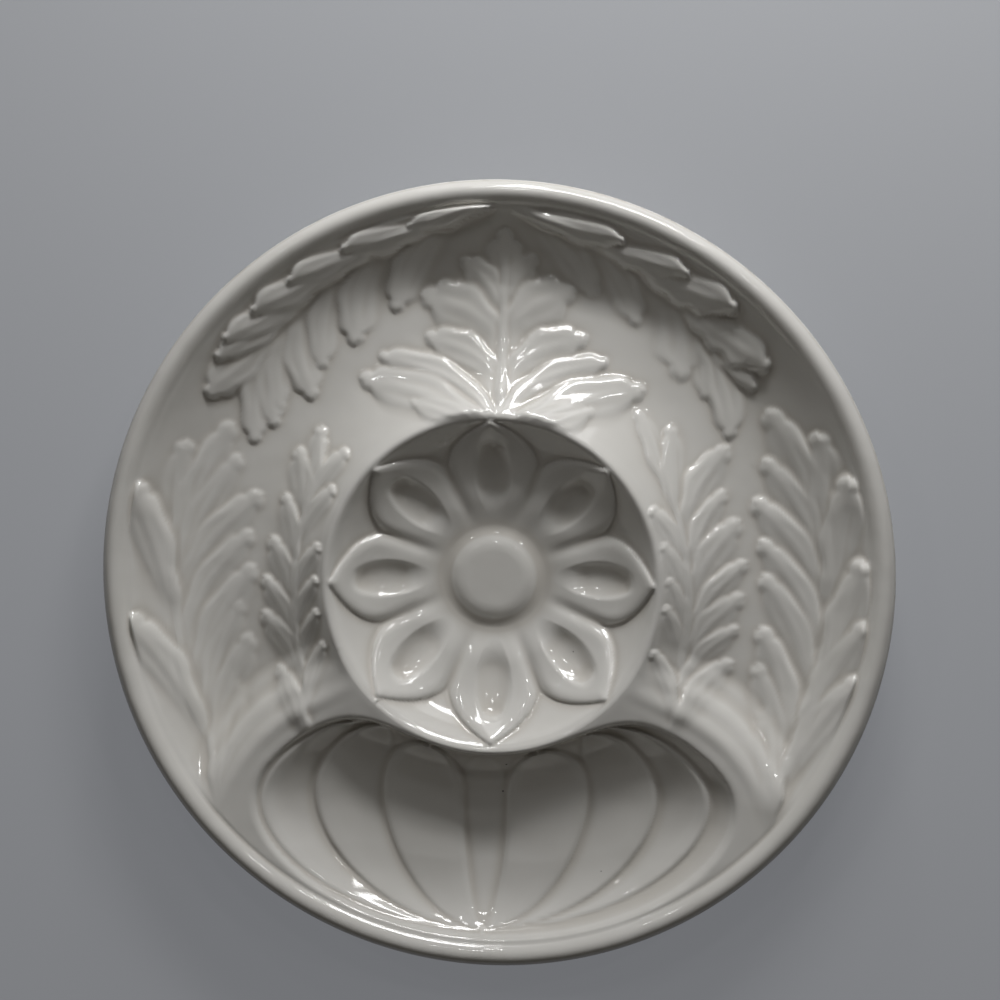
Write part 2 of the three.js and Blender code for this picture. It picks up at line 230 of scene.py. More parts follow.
@dataclass(frozen=True)
class TurnedFace:
    """The front face as it is turned, before wells and relief are added."""

    sizes: PlateSizes

    def height(self, radius: Field) -> Field:
        """Height of the turned face.

        Args:
            radius: Distances from the axis.

        Returns:
            The face's height at each distance.
        """
        s = self.sizes
        boss = s.well_floor + s.boss_rise * fall(radius, s.boss_radius - s.boss_edge, s.groove_radius)
        up = np.clip((radius - s.groove_radius) / (s.ridge_radius - s.groove_radius), 0.0, None)
        well = mix(s.well_floor, s.ridge_height, mix(up**s.well_sweep, up**s.well_rise, s.well_steepness))
        across = (radius - s.ridge_radius) / (s.lip_inner - s.ridge_radius)
        inward = np.clip(1 - across / s.trough_lowest, 0.0, None)
        outward = np.clip((across - s.trough_lowest) / (1 - s.trough_lowest), 0.0, 1.0)
        sunk = 1 - inward**s.trough_inner_curve - outward**s.trough_outer_curve
        trough = mix(s.ridge_height, s.lip_edge, across) - s.trough_depth * sunk
        from_crest = np.clip((radius - s.lip_inner) / s.lip_width * 2 - 1, -1.0, 1.0)
        lip = s.height - s.lip_roll * from_crest**2
        ridge = soft_min(well, trough, s.ridge_softness)
        return np.select([radius < s.groove_radius, radius < s.lip_inner], [boss, ridge], lip)


@dataclass(frozen=True)
class ShellWell:
    """The fluted shell well on the lower side, and the banks that part it from the trough."""

    sizes: PlateSizes
    half_span: float = 46.0
    side_bulge: float = 5.0
    edge_gap: float = 3.0
    lift: float = 1.5
    inner_run: float = 17.0
    outer_run: float = 32.0
    side_run: float = 24.0
    squareness: float = 0.42
    bank_top: float = 5.0
    bank_run: float = 22.0
    bank_dip: float = 3.0
    fold_height: float = 0.3
    fold_step: float = 7.5
    edge_softness: float = 4.0
    panel_edges: tuple[float, ...] = (0.1, 0.45, 0.75, 0.97)
    panel_lifts: tuple[Point, ...] = ((0.4, 0.4), (2.2, 2.4), (0.6, 2.4), (0.3, 2.0))
    panel_middle: float = -3.0
    panel_step: float = 3.0
    panel_groove: float = 0.12
    panel_crown: float = 0.25
    panel_arch_drop: float = 4.5
    panel_arch: float = 0.72
    panel_head_gap: float = 2.0
    panel_head_least: float = 0.7
    panel_foot_rise: float = 2.5
    panel_foot_least: float = 0.15
    wall_power: float = 1.8
    rise_beyond: float = 20.0

    @property
    def floor(self) -> float:
        """Height of the well's floor."""
        return self.sizes.well_floor + self.lift

    @property
    def inner(self) -> float:
        """Radius of the well's edge beside the dip well."""
        return self.sizes.ridge_radius + self.edge_gap

    @property
    def outer(self) -> float:
        """Radius of the well's edge beside the lip."""
        return self.sizes.lip_inner - self.edge_gap / 2

    @property
    def panel_level(self) -> float:
        """Share of the well's height at the heads of the panels."""
        return 1 - self.panel_arch_drop / (self.sizes.lip_edge - self.floor)

    def half_angle(self, radius: Field) -> Field:
        """Half angle of the well's side at its edge, in degrees."""
        across = np.clip((radius - self.inner) / (self.outer - self.inner), 0.0, 1.0)
        return self.half_span + self.side_bulge * np.sin(np.pi * across)

    @staticmethod
    def from_axis(x: Field, y: Field) -> Field:
        """Angle from the well's middle line, in degrees."""
        return np.degrees(np.abs(np.arctan2(x, -y)))

    def inset(self, height: Any) -> Any:
        """How far the wall has come in at a share of its height, from 0 at the edge to 1 at the floor."""
        return 1 - (1 - (1 - height) ** self.wall_power) ** (1 / self.wall_power)

    def outside(self, x: Field, y: Field, height: Any) -> Field:
        """How far a place lies outside the well's edge at a share of its height.

        Args:
            x: Places across the plate.
            y: Places up the plate.
            height: Share of the well's height at which the edge is taken.

        Returns:
            A measure that is below 0 inside the edge and above 0 outside it.
        """
        radius = np.hypot(x, y)
        inset = self.inset(height)
        inner = self.inner + self.inner_run * inset
        outer = self.outer - self.outer_run * inset
        along = np.abs((2 * radius - inner - outer) / (outer - inner))
        aside = self.from_axis(x, y) / (self.half_angle(radius) - self.side_run * inset)
        power = 2 / self.squareness
        return along**power + aside**power - 1

    def raise_banks(self, x: Field, y: Field, turned: Field) -> Field:
        """Turned face with the banks on both sides of the well.

        Args:
            x: Places across the plate.
            y: Places up the plate.
            turned: Heights of the turned face there.

        Returns:
            Heights of the face with its banks.
        """
        s = self.sizes
        radius = np.hypot(x, y)
        across = s.across(radius)
        crest = mix(s.ridge_height, s.lip_edge, across) - self.bank_dip * np.sin(np.pi * across)
        beside = radius * np.radians(self.from_axis(x, y) - self.half_angle(radius))
        width = self.bank_top + self.bank_run
        folded = np.sin(np.pi * np.clip(beside / width, 0.0, 1.0)) * np.sin(np.pi * across)
        folds = self.fold_height * np.cos(2 * np.pi * beside / self.fold_step) * folded
        return mix(turned, crest, fall(beside, self.bank_top, width)) + folds

    def height(self, x: Field, y: Field) -> Field:
        """Height of the well's plain wall and floor, carried on upwards outside its edge.

        Args:
            x: Places across the plate.
            y: Places up the plate.

        Returns:
            The wall's height at each place.
        """
        low, high = np.zeros(x.shape), np.ones(x.shape)
        for _ in range(HALVINGS):
            trial = (low + high) / 2
            inside = self.outside(x, y, trial) < 0
            high = np.where(inside, trial, high)
            low = np.where(inside, low, trial)
        beyond = np.clip(self.outside(x, y, 1.0), 0.0, 1.0)
        return mix(self.floor, self.sizes.lip_edge, (low + high) / 2) + self.rise_beyond * beyond

    def half_width(self, y: Field) -> Field:
        """Half width of the well across the plate, at the level of the panels' heads.

        Args:
            y: Places up the plate.

        Returns:
            The well's half width at each place.
        """
        clear = self.inner + self.inner_run / 2
        low = np.sqrt(np.clip(clear**2 - y**2, 0.0, None))
        high = np.full(y.shape, self.outer)
        for _ in range(HALVINGS):
            trial = (low + high) / 2
            inside = self.outside(trial, y, self.panel_level) < 0
            low = np.where(inside, trial, low)
            high = np.where(inside, high, trial)
        return (low + high) / 2

    def panels(self, x: Field, y: Field) -> Field:
        """Height of the round-headed shell panels above the plain wall.

        Args:
            x: Places across the plate.
            y: Places up the plate.

        Returns:
            The panels' height at each place.
        """
        wide = self.half_width(y)
        aside = np.abs(x - self.panel_middle)
        foot = -self.outer + self.outer_run * self.inset(self.panel_level)
        reach, least = self.inner + self.panel_head_gap, self.inner * self.panel_head_least
        head = -np.sqrt(np.clip(reach**2 - x**2, least**2, None))
        up = np.clip((y - foot) / (head - foot), 0.0, 1.0)
        past = np.clip((up - self.panel_arch) / (1 - self.panel_arch), 0.0, 1.0)
        arch = np.sqrt(1 - past**2)
        raised = np.zeros(x.shape)
        start = -self.panel_edges[0]
        for end, (inner_lift, outer_lift) in zip(self.panel_edges, self.panel_lifts):
            place = (aside / wide - start) / (end - start)
            inside = (arch - np.abs(2 * place - 1)) * (end - start) * wide / 2
            shown = fall(inside, self.panel_step / 2, -self.panel_step / 2)
            swell = 1 + self.panel_crown * (1 - np.clip(2 * place - 1, -1.0, 1.0) ** 2)
            raised += mix(inner_lift, outer_lift, np.clip(place, 0.0, 1.0)) * swell * shown
            raised -= self.panel_groove * np.exp(-((inside / self.panel_step) ** 2))
            start = end
        return raised * np.clip(self.panel_foot_rise * up + self.panel_foot_least, 0.0, 1.0)


@dataclass(frozen=True)
class Rosette:
    """The lotus rosette pressed into the dip well round its boss."""

    sizes: PlateSizes
    petals: int = 8
    lift: float = 2.6
    half_width: float = 15.4
    widest: float = 36.0
    fullness: float = 0.72
    ogee: float = 0.3
    ogee_power: int = 6
    past_limit: float = 0.999
    tip_gap: float = 1.0
    edge: float = 4.2
    seam_share: float = 0.5
    seam_half_width: float = 2.4
    start_inset: float = 1.0
    start_run: float = 13.0
    hollow_depth: float = 2.4
    hollow_half_width: float = 6.4
    hollow_start: float = 20.0
    hollow_end: float = 47.5
    hollow_powers: Point = (0.75, 0.5)
    hollow_peak: float = 0.431
    hollow_least: float = 0.001
    hollow_fade_in: float = 0.45
    hollow_fade_out: float = 0.88

    def relief(self, x: Field, y: Field) -> Field:
        """Height of the petals above the well's wall.

        Args:
            x: Places across the plate.
            y: Places up the plate.

        Returns:
            The petals' height at each place.
        """
        radius = np.hypot(x, y)
        turn = 2 * np.pi / self.petals
        bearing = np.arctan2(y, x)
        from_middle = bearing - turn * np.round(bearing / turn)
        out = radius * np.cos(from_middle)
        aside = np.abs(radius * np.sin(from_middle))
        tip = self.sizes.ridge_radius - self.tip_gap
        past = np.clip((out - self.widest) / (tip - self.widest), 0.0, self.past_limit)
        arch = self.half_width * (1 - past**2) ** self.fullness * (1 - self.ogee * past**self.ogee_power)
        lean = 2 * self.fullness * arch * past / (1 - past**2) / (tip - self.widest)
        from_edge = np.where(out < tip, (arch - aside) / np.sqrt(1 + lean**2), -1.0)
        rounded = np.clip(from_edge / self.edge, 0.0, 1.0)
        from_seam = (out * math.tan(turn / 2) - aside) * math.cos(turn / 2)
        seam = 1 - self.seam_share * np.exp(-((from_seam / self.seam_half_width) ** 2))
        petal = self.lift * np.sqrt(rounded * (2 - rounded)) * seam
        run = np.clip((out - self.hollow_start) / (self.hollow_end - self.hollow_start), 0.0, 1.0)
        start_power, end_power = self.hollow_powers
        spoon = run**start_power * (1 - run) ** end_power / self.hollow_peak
        hollow_half = self.hollow_half_width * spoon + self.hollow_least
        bowl = np.clip(1 - (aside / hollow_half) ** 2, 0.0, 1.0)
        shown = (1 - fall(run, 0.0, self.hollow_fade_in)) * fall(run, self.hollow_fade_out, 1.0)
        hollow = self.hollow_depth * bowl * shown
        groove = self.sizes.groove_radius
        start = 1 - fall(radius, groove - self.start_inset, groove + self.start_run)
        return (petal - hollow) * start


class LobeForm(Enum):
    """Form of a leaf lobe: the powers of its falls to the upper and lower edge, and its tip's width."""

    FINGER = (3.0, 1.5, 0.56)
    BLADE = (3.6, 2.2, 0.42)


@dataclass(frozen=True)
class Lobe:
    """One lobe of a leaf, along a bent spine from the stem to its tip."""

    spine: Field
    half_width: float
    lift: float
    form: LobeForm
    upper_side: float
    beads: int = 0
    bead_depth: float = 0.14
    bead_run: Point = (0.2, 0.5)
    crest: float = 0.4
    widest: float = 0.82
    root_width: float = 0.35
    tip_fullness: float = 0.5
    tip_lift: float = 0.85
    tip_start: float = 0.8
    start_run: float = 0.5
    root_sink: float = 0.5
    vein: float = 0.11
    vein_count: int = 3
    vein_end: float = 0.75
    vein_margin: float = 1.5
    section_least: float = -1.5
    near_share: float = 2.4
    near_margin: float = 1.0

    def rise(self, x: Field, y: Field) -> Field:
        """Height of the lobe above the trough, below 0 outside its edge.

        Args:
            x: Places across the plate.
            y: Places up the plate.

        Returns:
            The lobe's height at each place.
        """
        above_power, below_power, tip_width = self.form.value
        share, distance, side = nearest_on(self.spine, x, y)
        upper = side * self.upper_side
        grown = 1 - fall(share, 0.0, self.widest)
        begun = 1 - fall(share, 0.0, self.start_run)
        past = np.clip((share - self.widest) / (1 - self.widest), 0.0, 1.0)
        tapered = np.maximum((1 - past**2) ** self.tip_fullness, tip_width)
        wave = np.cos(2 * np.pi * self.beads * share) * (upper > 0) * (1 - fall(share, *self.bead_run))
        half = self.half_width * mix(self.root_width, 1.0, grown) * tapered * (1 + self.bead_depth * wave)
        place = upper * distance / half
        before_tip = fall(share, self.tip_start, 1.0)
        crest = self.crest * before_tip
        above = np.clip((place - crest) / (1 - crest), 0.0, None)
        below = np.clip((crest - place) / (1 + crest), 0.0, None)
        section = np.clip(1 - above**above_power - below**below_power, self.section_least, 1.0)
        top = self.lift * begun * mix(self.tip_lift, 1.0, before_tip)
        veined = grown * fall(share, self.vein_end, 1.0)
        veins = self.vein * np.cos(np.pi * self.vein_count * place) * veined
        inside = np.clip(self.vein_margin * (1 - np.abs(place)), 0.0, 1.0)
        return top * section + veins * inside - self.root_sink * (1 - begun)

    def near(self, x: Field, y: Field) -> Field:
        """Places that the lobe can reach.

        Args:
            x: Places across the plate.
            y: Places up the plate.

        Returns:
            Whether each place is near the lobe.
        """
        margin = self.half_width * self.near_share + self.near_margin
        low, high = self.spine.min(0) - margin, self.spine.max(0) + margin
        return (x > low[0]) & (x < high[0]) & (y > low[1]) & (y < high[1])


@dataclass(frozen=True)
class Leaf:
    """An acanthus leaf in the trough: a midrib with lobes on both sides.

    Each tip is given as x, y and half width, and where they differ from the leaf's, with its share of the
    lift and a count of beads.
    """

    stem: tuple[Point, ...]
    tips: tuple[tuple[float, ...], ...]
    form: LobeForm = LobeForm.FINGER
    lift: float = 1.6
    bend: float = 0.5
    set_back: float = 0.8
    least_back: float = 0.0
    reach_back: float = 24.0
    beads: int = 3
    body_lift: float = 1.5
    body_half_width: float = 15.0
    body_start: float = 0.2
    body_end: float = 0.6
    body_sink: float = 0.5
    rib_lift: float = 1.5
    rib_half_width: float = 1.9
    rib_start: float = 0.15
    rib_end: float = 0.8
    rib_narrowing: float = 0.5
    rib_least: float = -1.5
    groove_depth: float = 0.12
    groove_place: float = 1.15
    groove_half_width: float = 0.8
    softness: float = 0.6
    fullness: float = 1.5
    tip_inset: float = 0.35
    back_points: int = 10
    spine_points: int = 17

    def lobes(self) -> list[Lobe]:
        """Lobes that leave the stem behind the place nearest to their tips, and bend out to them.

        Returns:
            The lobes, in the order of their tips.
        """
        drawn = curve_through(self.stem, STEM_STEPS)
        behind = (drawn[0] - drawn[1]) / np.hypot(*(drawn[0] - drawn[1])) * self.reach_back
        back = np.linspace(1.0, 1 / self.back_points, self.back_points)
        stem = np.vstack([drawn[0] + behind * share for share in back] + [drawn])
        steps = np.hypot(*np.diff(stem, axis=0).T)
        along_stem = np.concatenate([[0.0], np.cumsum(steps)])
        made = []
        for x, y, drawn_half_width, *rest in self.tips:
            share_of_lift, beads = (*rest, *(1.0, self.beads)[len(rest):])
            tip = np.array([x, y])
            half_width = drawn_half_width * self.fullness
            reaches = np.hypot(*(stem - tip).T)
            nearest = int(reaches.argmin())
            run_back = max(self.set_back * reaches[nearest], self.least_back)
            at = int(np.searchsorted(along_stem, along_stem[nearest] - run_back))
            at = min(max(at, 0), len(steps) - 1)
            along = (stem[at + 1] - stem[at]) / steps[at]
            root = stem[at]
            elbow = root + along * self.bend * np.hypot(*(tip - root))
            ahead, onward = tip - elbow, stem[-1] - tip
            end = tip - ahead / np.hypot(*ahead) * self.tip_inset * half_width
            share = np.linspace(0.0, 1.0, self.spine_points)[:, None]
            spine = (1 - share) ** 2 * root + 2 * share * (1 - share) * elbow + share**2 * end
            upper_side = math.copysign(1.0, ahead[0] * onward[1] - ahead[1] * onward[0])
            lift = self.lift * share_of_lift
            made.append(Lobe(spine, half_width, lift, self.form, upper_side, int(beads)))
        return made

    def rise(self, x: Field, y: Field) -> Field:
        """Height of the leaf above the trough, below 0 outside it.

        Args:
            x: Places across the plate.
            y: Places up the plate.

        Returns:
            The leaf's height at each place.
        """
        share, distance, _ = nearest_on(curve_through(self.stem, STEM_STEPS), x, y)
        body = fall(distance, 0.0, self.body_half_width) * fall(share, self.body_end, 1.0)
        height = (self.body_lift * body - self.body_sink) * (1 - fall(share, 0.0, self.body_start))
        for lobe in self.lobes():
            near = lobe.near(x, y)
            height[near] = soft_max(height[near], lobe.rise(x[near], y[near]), self.softness)
        half = self.rib_half_width * (1 - self.rib_narrowing * share)
        shown = fall(share, self.rib_end, 1.0) * (1 - fall(share, 0.0, self.rib_start))
        rib = self.rib_lift * np.clip(1 - (distance / half) ** 2, self.rib_least, 1.0)
        rib -= self.lift * (1 - shown)
        from_groove = (distance - half * self.groove_place) / self.groove_half_width
        groove = self.groove_depth * np.exp(-(from_groove**2)) * shown
        return soft_max(height - groove, rib, self.softness)


CROWN_LEAF = Leaf(
    stem=((3, 56), (3.3, 85), (4, 112)),
    tips=(
        (4, 115, 5), (-10.5, 105.5, 4.2), (14.5, 106.5, 4), (-24, 94, 6.3), (27, 95.5, 6.3),
        (-22.5, 80.5, 4.6), (31, 79.5, 5), (-38, 74, 3.6), (38, 72, 3.4), (-44.5, 66.5, 5.4),
        (50, 62.5, 5.4), (-27, 59.5, 3.3), (34, 56.5, 3.8),
    ),
    form=LobeForm.BLADE,
    least_back=24,
    rib_half_width=2.6,
)

LEFT_SPRAY = Leaf(
    stem=((-8, 120), (-37, 109.5), (-52, 101), (-63, 91.5), (-76, 77), (-83, 59)),
    tips=(
        (-27, 115.5, 2.4, 1.8), (-48.5, 108.5, 3.2, 1.9), (-66.5, 98, 3.4, 1.9), (-78.5, 88.5, 3.6, 1.9),
        (-88, 79.5, 3.4, 1.7), (-91, 73.5, 3.6, 1.5), (-95.5, 61.5, 4.4, 1.2), (-81, 45.5, 4.2),
        (-74, 51, 4), (-72, 57, 3.4), (-60.5, 60.5, 4.6), (-57.5, 70.5, 4), (-46, 78.5, 5.2),
        (-32.5, 89.5, 4.6),
    ),
    form=LobeForm.BLADE,
    least_back=40,
)

RIGHT_SPRAY = Leaf(
    stem=((8, 121), (38, 108), (57, 95), (71, 77), (77, 58)),
    tips=(
        (43, 110.5, 2.8, 1.9), (63.5, 100, 3.2, 1.9, 4), (78.5, 89, 4.2, 1.9, 5), (89.5, 70, 4.6, 1.7, 5),
        (86, 63.5, 3.2, 1.2), (78.5, 47.5, 4.2), (69.5, 60.5, 3, 0.8), (61, 67, 6.8, 0.8),
        (47, 84.5, 4, 0.8), (33.5, 94, 4.4, 0.8),
    ),
    form=LobeForm.BLADE,
    least_back=40,
)

LEFT_LEAF = Leaf(
    stem=((-97, -60), (-106, -32), (-109, -5), (-108.5, 18), (-105, 34)),
    tips=(
        (-103.5, 45.5, 4), (-88.5, 51, 4.6), (-86.5, 40, 4), (-79.5, 27, 4.6), (-83, 14, 4.2), (-82, 2, 4.8),
        (-87, -10, 4), (-83.5, -22, 4.6), (-88, -38, 4.6), (-118.5, 32, 4.2, 2.2), (-122, -13, 4.2, 2.2),
    ),
    least_back=58,
    lift=1.15,
    rib_lift=1.1,
)

RIGHT_LEAF = Leaf(
    stem=((97, -62), (107.5, -34), (110.5, -6), (109, 20), (103, 40)),
    tips=(
        (105.5, 49, 4.2), (90, 55.5, 4.8), (89.5, 39.5, 4.2), (86.5, 26, 4.4), (89, 12.5, 4.2), (90, 1, 4.4),
        (89.5, -17, 4.4), (88.5, -29, 4.2), (91, -42.5, 4.4), (114.5, 35, 4.6, 1.4), (119.5, 8, 4.4, 1.4),
        (120.5, -12, 4, 1.4), (118.5, -30, 4, 1.3),
    ),
    least_back=56,
    lift=1.9,
)

LEFT_FROND = Leaf(
    stem=((-64, -38), (-67, -15), (-66, 8), (-62, 28), (-59, 41)),
    tips=(
        (-66, 43, 4), (-70.5, 27.5, 3.2), (-75.5, 12.5, 4), (-78.5, -1, 3.6), (-79, -13.5, 4.2),
        (-74, -32, 3.6), (-58, 50.5, 3), (-48, 43, 2.8), (-52, 31, 2.8), (-57, 12, 2.6), (-58, 1, 2.4),
        (-58, -10, 2.4), (-56, -21, 2.4),
    ),
    least_back=30,
)

RIGHT_FROND = Leaf(
    stem=((62, -34), (65, -12), (64, 8), (60, 26), (54, 42)),
    tips=(
        (48, 56, 2.8, 0.7), (59, 51, 3), (77.5, 43.5, 4.2), (76.5, 29, 3.4), (81.5, 19, 4.6), (84, 5.5, 3.4),
        (83, -6, 4.2), (81.5, -16.5, 3.2), (80, -28.5, 3.8), (52, 25, 2.6), (56, 13.5, 2.4), (58, 2, 2.4),
        (57, -7, 2.4), (53, -22, 2.4),
    ),
    least_back=30,
    lift=1.3,
    rib_lift=1.2,
)

LEAVES = (CROWN_LEAF, LEFT_SPRAY, RIGHT_SPRAY, LEFT_LEAF, RIGHT_LEAF, LEFT_FROND, RIGHT_FROND)


@dataclass(frozen=True)
class FrontFace:
    """The whole front face: the turned face with its wells, banks and relief."""

    sizes: PlateSizes
    leaves: tuple[Leaf, ...] = LEAVES
    seat_softness: float = 0.5
    lip_gap: float = 1.5
    ridge_gap: float = 3.0
    slope_step: float = 0.5
    shell_reach: float = 0.9
    panel_fade: float = 6.0

    def height(self, x: Field, y: Field) -> Field:
        """Height of the front face.

        Args:
            x: Places across the plate.
            y: Places up the plate.

        Returns:
            The face's height at each place.
        """
        radius = np.hypot(x, y)
        shell = ShellWell(self.sizes)
        turned = TurnedFace(self.sizes)
        height = turned.height(radius)
        ridge, lip = self.sizes.ridge_radius, self.sizes.lip_inner
        in_trough = (radius > ridge) & (radius < lip)
        tx, ty, reach = x[in_trough], y[in_trough], radius[in_trough]
        leaf_rise = np.maximum.reduce([leaf.rise(tx, ty) for leaf in self.leaves])
        step = self.slope_step
        inward = np.minimum(reach, lip - step)
        slope = (turned.height(inward + step) - turned.height(inward - step)) / (2 * step)
        leaf_rise = soft_max(leaf_rise, 0.0, self.seat_softness) * np.sqrt(1 + slope**2)
        leaf_rise *= fall(reach, lip - self.lip_gap, lip) * fall(reach, ridge + self.ridge_gap, ridge)
        height[in_trough] = shell.raise_banks(tx, ty, height[in_trough]) + leaf_rise
        in_well = radius < ridge
        height[in_well] += Rosette(self.sizes).relief(x[in_well], y[in_well])
        low = (y < -ridge / 2) & (radius > ridge * self.shell_reach) & (radius < lip)
        sx, sy = x[low], y[low]
        shown = np.clip(-self.panel_fade * shell.outside(sx, sy, 1.0), 0.0, 1.0)
        bowl = shell.height(sx, sy) + shell.panels(sx, sy) * shown
        height[low] = soft_min(height[low], bowl, shell.edge_softness)
        return height


class Value:
    """A shader socket that takes part in Python sums, each of which adds a Math node."""

    def __init__(self, nodes: Nodes, socket: bpy.types.NodeSocket) -> None:
        """Keeps the socket and the nodes that it belongs to."""
        self.nodes = nodes
        self.socket = socket

    def _math(self, operation: str, first: Number, second: Number) -> Value:
        """Adds one Math node."""
        return self.nodes.add("ShaderNodeMath", {"operation": operation}, {0: first, 1: second})

    def __add__(self, other: Number) -> Value:
        """Sum."""
        return self._math("ADD", self, other)

    __radd__ = __add__

    def __rsub__(self, other: Number) -> Value:
        """Difference from a number."""
        return self._math("SUBTRACT", other, self)

    def __mul__(self, other: Number) -> Value:
        """Product."""
        return self._math("MULTIPLY", self, other)

    __rmul__ = __mul__

    def above(self, other: Number) -> Value:
        """1 where the value is above the other, and 0 elsewhere."""
        return self._math("GREATER_THAN", self, other)

    def largest(self, other: Number) -> Value:
        """Larger of the two."""
        return self._math("MAXIMUM", self, other)


Number = Union[Value, float]


class Nodes:
    """The node tree of one material or world."""

    def __init__(self, tree: bpy.types.NodeTree) -> None:
        """Empties the tree."""
        self.tree = tree
        tree.nodes.clear()

    def add(self, kind: str, settings: dict[str, Any], inputs: dict[Any, Any], output: Any = 0) -> Value:
        """Adds a node.

        Args:
            kind: Type of the node.
            settings: Attributes set before its sockets; "stops" fills a colour ramp.
            inputs: Values or links of its sockets, by name or number.
            output: Name or number of the socket to return.

        Returns:
            The chosen output.
        """
        node = self.tree.nodes.new(kind)
        for name, setting in settings.items():
            if name == "stops":
                self._fill_ramp(node.color_ramp, setting)
            else:
                setattr(node, name, setting)
        for name, value in inputs.items():
            if isinstance(value, Value):
                self.tree.links.new(value.socket, node.inputs[name])
            else:
                node.inputs[name].default_value = value
        if len(node.outputs) == 0:
            return Value(self, node.inputs[0])
        return Value(self, node.outputs[output])

    @staticmethod
    def _fill_ramp(ramp: bpy.types.ColorRamp, stops: Sequence[tuple[float, float]]) -> None:
        """Sets a grey ramp's stops.

        Args:
            ramp: Ramp of a new node.
            stops: Pairs of place and level.
        """
        while len(ramp.elements) < len(stops):
            ramp.elements.new(1.0)
        for element, (place, level) in zip(ramp.elements, stops):
            element.position = place
            element.color = (level, level, level, 1.0)

    def ramp(self, value: Value, *stops: tuple[float, float]) -> Value:
        """Value carried through a grey ramp."""
        return self.add("ShaderNodeValToRGB", {"stops": stops}, {"Fac": value})

    def blend(self, share: Number, first: Any, second: Any) -> Value:
        """Mix of two colours."""
        inputs = {"Factor": share, 6: first, 7: second}
        return self.add("ShaderNodeMix", {"data_type": "RGBA"}, inputs, 2)

    def noise(self, place: Value, size: float, detail: float = 2.0) -> Value:
        """Noise with patches of about the given size in metres."""
        return self.add("ShaderNodeTexNoise", {}, {"Vector": place, "Scale": 1 / size, "Detail": detail})

    def place(self) -> Value:
        """Object coordinates."""
        return self.add("ShaderNodeTexCoord", {}, {}, "Object")

    def dress(self, inputs: dict[str, Any]) -> None:
        """Ends a material with a shader that has the given inputs."""
        shader = self.add("ShaderNodeBsdfPrincipled", {}, inputs)
        self.add("ShaderNodeOutputMaterial", {}, {"Surface": shader})


def colour(red: float, green: float, blue: float) -> Colour:
    """Linear colour with full cover."""
    return (red, green, blue, 1.0)


@dataclass(frozen=True)
class Glaze:
    """Glossy off-white glaze over the casting, greyer and warmer in hollows, where it pools and shade is
    painted.
    """

    name: str = "glaze"
    body: Colour = colour(0.80, 0.785, 0.745)
    thin: Colour = colour(0.84, 0.825, 0.79)
    # Colour for hollows and creases: where the glaze pools, darkened further as painted shade.
    pooled_and_shaded: Colour = colour(0.52, 0.47, 0.40)
    speck: Colour = colour(0.05, 0.045, 0.04)
    patch_size: float = 0.03
    pool_and_shade_most: float = 0.4
    speck_scale: float = 70.0
    speck_patch: float = 0.02
    speck_least: float = 0.6
    roughness: float = 0.07
    roughness_change: float = 0.03
    roughness_patch: float = 0.012
    ripple: float = 0.0003
    ripple_size: float = 0.011
    refraction: float = 1.52

    def material(self) -> bpy.types.Material:
        """Builds the material.

        Returns:
            The new material.
        """
        made = bpy.data.materials.new(self.name)
        made.use_nodes = True
        nodes = Nodes(made.node_tree)
        place = nodes.place()
        pool_and_shade = nodes.add("ShaderNodeAttribute", {"attribute_name": POOL_AND_SHADE_LAYER}, {}, "Fac")
        patches = nodes.noise(place, self.patch_size)
        tone = nodes.blend(nodes.ramp(patches, (0.3, 0.0), (0.7, 1.0)), self.body, self.thin)
        # Painted shade: hollows and creases are mixed towards the darker, warmer colour, which also stands
        # for glaze that pools there.
        pool_and_shade_share = nodes.ramp(pool_and_shade, (0.5, 0.0), (1.0, self.pool_and_shade_most))
        tone = nodes.blend(pool_and_shade_share, tone, self.pooled_and_shaded)
        spread = {"Vector": place, "Scale": self.speck_scale}
        cells = nodes.add("ShaderNodeTexVoronoi", {"feature": "F1"}, spread, "Distance")
        spots = 1 - nodes.ramp(cells, (0.02, 0.0), (0.035, 1.0))
        chosen = nodes.noise(place, self.speck_patch).above(self.speck_least)
        tone = nodes.blend(spots * chosen, tone, self.speck)
        gloss = self.roughness + self.roughness_change * nodes.noise(place, self.roughness_patch)
        ripples = nodes.noise(place, self.ripple_size, 1.0)
        bump = nodes.add("ShaderNodeBump", {}, {"Strength": 1.0, "Distance": self.ripple, "Height": ripples})
        inputs = {"Base Color": tone, "Roughness": gloss, "Normal": bump, "IOR": self.refraction}
        nodes.dress(inputs)
        return made


@dataclass(frozen=True)
class BareClay:
    """Bare fired clay of the foot ring, matt and slightly grainy, rubbed darker where it stands."""

    name: str = "bare_clay"
    clay: Colour = colour(0.66, 0.57, 0.45)
    stained: Colour = colour(0.47, 0.38, 0.28)
    stain_size: float = 0.012
    stain_most: float = 0.8
    grain_size: float = 0.0009
    grain_strength: float = 0.35
    grain_depth: float = 0.0006
    roughness: float = 0.85

    def material(self) -> bpy.types.Material:
        """Builds the material.

        Returns:
            The new material.
        """
        made = bpy.data.materials.new(self.name)
        made.use_nodes = True
        nodes = Nodes(made.node_tree)
        place = nodes.place()
        stain = nodes.ramp(nodes.noise(place, self.stain_size, 4.0), (0.45, 0.0), (0.75, self.stain_most))
        tone = nodes.blend(stain, self.clay, self.stained)
        grain = nodes.noise(place, self.grain_size, 3.0)
        grained = {"Strength": self.grain_strength, "Distance": self.grain_depth, "Height": grain}
        bump = nodes.add("ShaderNodeBump", {}, grained)
        inputs = {"Base Color": tone, "Roughness": self.roughness, "Normal": bump}
        nodes.dress(inputs)
        return made


